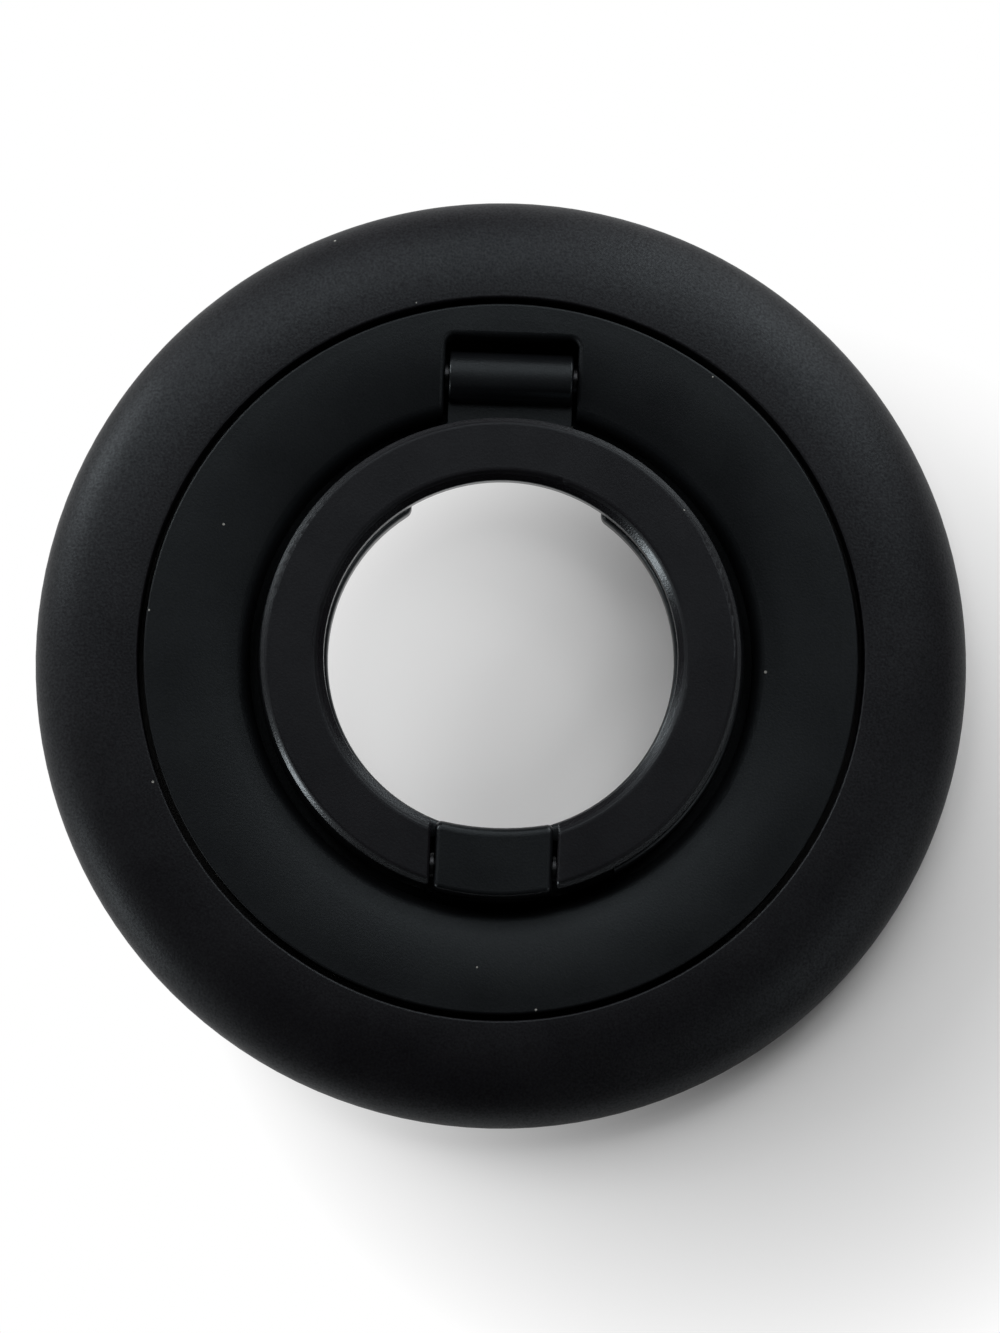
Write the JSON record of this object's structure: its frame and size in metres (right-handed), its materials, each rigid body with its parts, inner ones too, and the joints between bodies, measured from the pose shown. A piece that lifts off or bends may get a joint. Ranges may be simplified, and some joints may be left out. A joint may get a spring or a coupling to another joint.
{
  "type": "magnetic phone ring holder",
  "caption": "Round magnetic ring holder for a phone: domed magnet base, turning dished bezel, and a folding link ring that carries a hinged finger ring round an open centre.",
  "frame": {"origin": "on the ring's axis, on the face of the pad that lies against the phone", "axes": "+Z away from the phone along the ring's axis, +Y towards the bezel's hinge notch"},
  "size_m": [0.058, 0.058, 0.0055],
  "materials": {
    "black_anodised": "bead-blasted and anodised matte black",
    "black_nylon": "moulded glass-filled nylon",
    "nickel_magnet": "nickel plated",
    "steel": "stainless steel",
    "acetal": "natural acetal",
    "adhesive": "acrylic tape",
    "silicone": "soft matte silicone"
  },
  "bodies": {
    "base": {"outer_shell": "black_anodised", "magnets": "nickel_magnet", "yoke_ring": "steel", "base_plate": "black_nylon", "base_screws": "steel", "pad_tape": "adhesive", "grip_pad": "silicone", "upper_glide_washer": "acetal"},
    "turntable": {"bezel": "black_anodised", "retainer_ring": "steel", "retainer_screws": "steel", "lower_glide_washer": "acetal", "upper_hinge_pin": "steel", "upper_hinge_washers": "steel"},
    "link": {"link_ring": "black_anodised", "upper_friction_sleeve": "steel", "lower_friction_sleeve": "steel"},
    "finger_loop": {"finger_ring": "black_anodised", "lower_hinge_pin": "steel", "lower_hinge_washers": "steel"}
  },
  "joints": [
    {"name": "bezel_spin", "type": "hinge", "parent": "base", "child": "turntable", "pos_m": [0, 0, 0], "axis": [0, 0, 1], "continuous": true},
    {"name": "link_fold", "type": "hinge", "parent": "turntable", "child": "link", "pos_m": [0, 0.0176, 0.0029], "axis": [-1, 0, 0], "range_deg": [0, 100]},
    {"name": "ring_fold", "type": "hinge", "parent": "link", "child": "finger_loop", "pos_m": [0, -0.0131, 0.00455], "axis": [1, 0, 0], "range_deg": [0, 165]}
  ]
}
